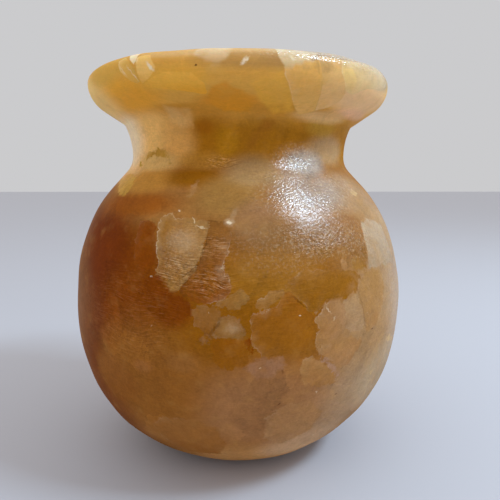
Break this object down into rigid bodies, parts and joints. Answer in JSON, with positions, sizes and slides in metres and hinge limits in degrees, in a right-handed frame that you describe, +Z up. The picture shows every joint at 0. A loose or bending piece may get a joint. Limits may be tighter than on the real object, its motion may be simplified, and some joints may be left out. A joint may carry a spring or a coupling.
{
  "type": "stone vase",
  "caption": "Globular stone vase with a waisted neck, a wide flared rim and a hollow belly, carved from a solid block of honey calcite.",
  "frame": {"origin": "centre of the foot's flat face, on the surface that the vase stands on", "axes": "+Z up along the axis that the vase is round about; -Y faces the viewer of the picture"},
  "size_m": [0.084, 0.084, 0.0939],
  "materials": {
    "honey_calcite": "hand-sanded and waxed translucent stone, satin with soft gloss"
  },
  "bodies": {
    "root": {"stone_vase": "honey_calcite"}
  },
  "joints": []
}
